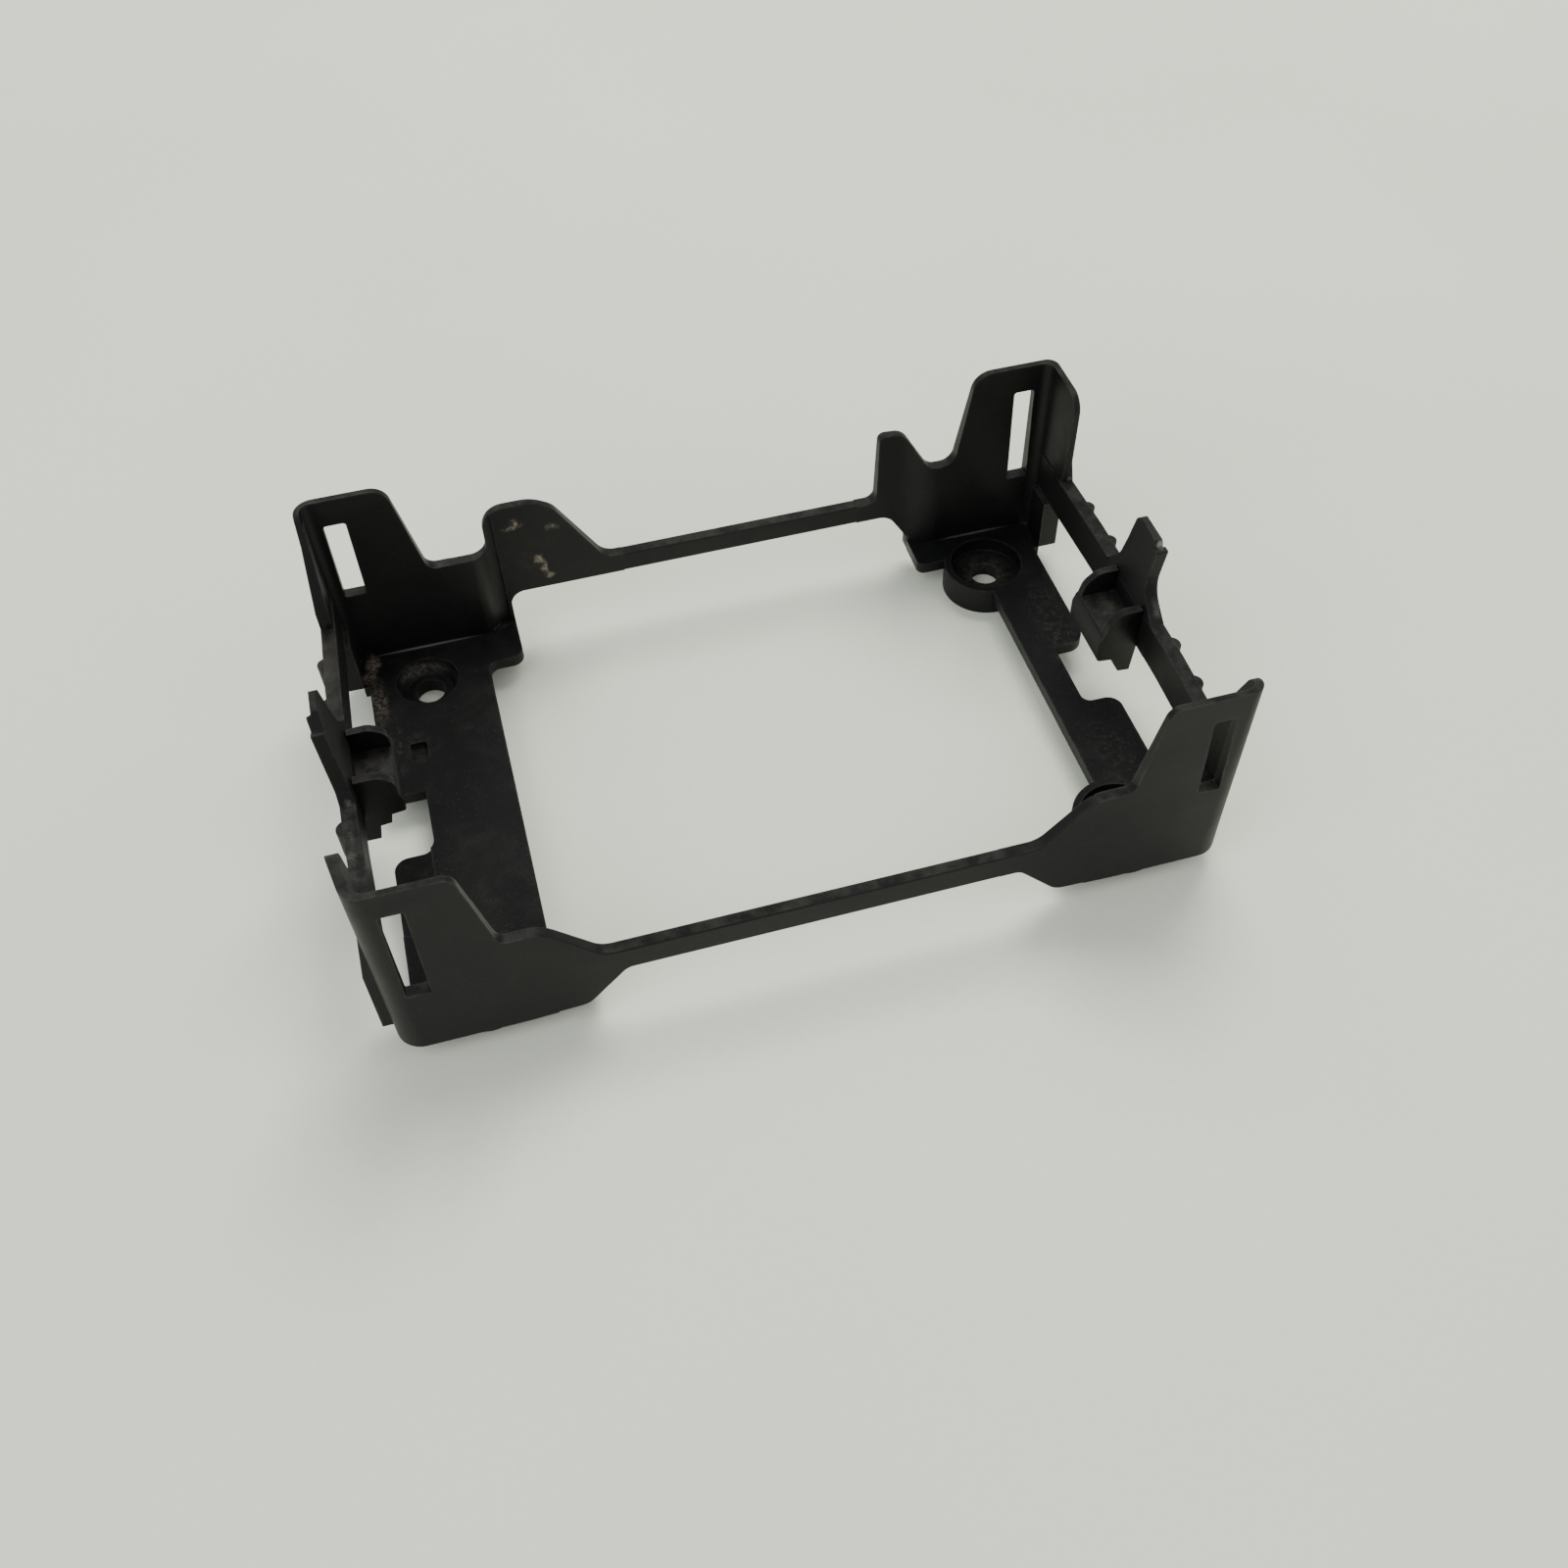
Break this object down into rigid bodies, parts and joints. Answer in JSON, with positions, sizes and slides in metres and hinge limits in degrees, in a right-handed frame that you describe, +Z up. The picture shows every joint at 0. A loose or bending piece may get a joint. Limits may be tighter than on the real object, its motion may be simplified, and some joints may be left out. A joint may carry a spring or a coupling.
{
  "type": "heatsink retention frame",
  "caption": "Rectangular moulded plastic heatsink retention frame with slotted corner posts, slim rails, screw bosses on base plates and a springing latch on each short side.",
  "frame": {"origin": "centre of the four screw holes, in the plane the boss feet stand on", "axes": "+X along the long sides, +Y towards the rear long side with the two humped guides, +Z up the corner posts, along the screw holes"},
  "size_m": [0.0995, 0.0621, 0.0296],
  "materials": {
    "frame_plastic": "black glass-filled moulding, satin with fine grain"
  },
  "bodies": {
    "frame": {"front_left_post": "frame_plastic", "front_right_post": "frame_plastic", "rear_left_post": "frame_plastic", "rear_right_post": "frame_plastic", "front_left_shoulder": "frame_plastic", "front_right_shoulder": "frame_plastic", "rear_left_guide": "frame_plastic", "rear_right_guide": "frame_plastic", "front_rail": "frame_plastic", "rear_rail": "frame_plastic", "left_base_plate": "frame_plastic", "right_base_plate": "frame_plastic", "rear_left_screw_boss": "frame_plastic", "rear_right_screw_boss": "frame_plastic", "front_left_screw_boss": "frame_plastic", "front_right_screw_boss": "frame_plastic", "left_bar_front": "frame_plastic", "left_bar_rear": "frame_plastic", "right_bar_front": "frame_plastic", "right_bar_rear": "frame_plastic"},
    "left_latch": {"left_latch_bar": "frame_plastic", "left_latch_hook": "frame_plastic", "left_latch_fin": "frame_plastic"},
    "right_latch": {"right_latch_bar": "frame_plastic", "right_latch_hook": "frame_plastic", "right_latch_fin": "frame_plastic"}
  },
  "joints": [
    {"name": "left_latch_flex", "type": "slide", "parent": "frame", "child": "left_latch", "axis": [-1, 0, 0], "range_m": [0, 0.0018]},
    {"name": "right_latch_flex", "type": "slide", "parent": "frame", "child": "right_latch", "axis": [1, 0, 0], "range_m": [0, 0.0018]}
  ]
}
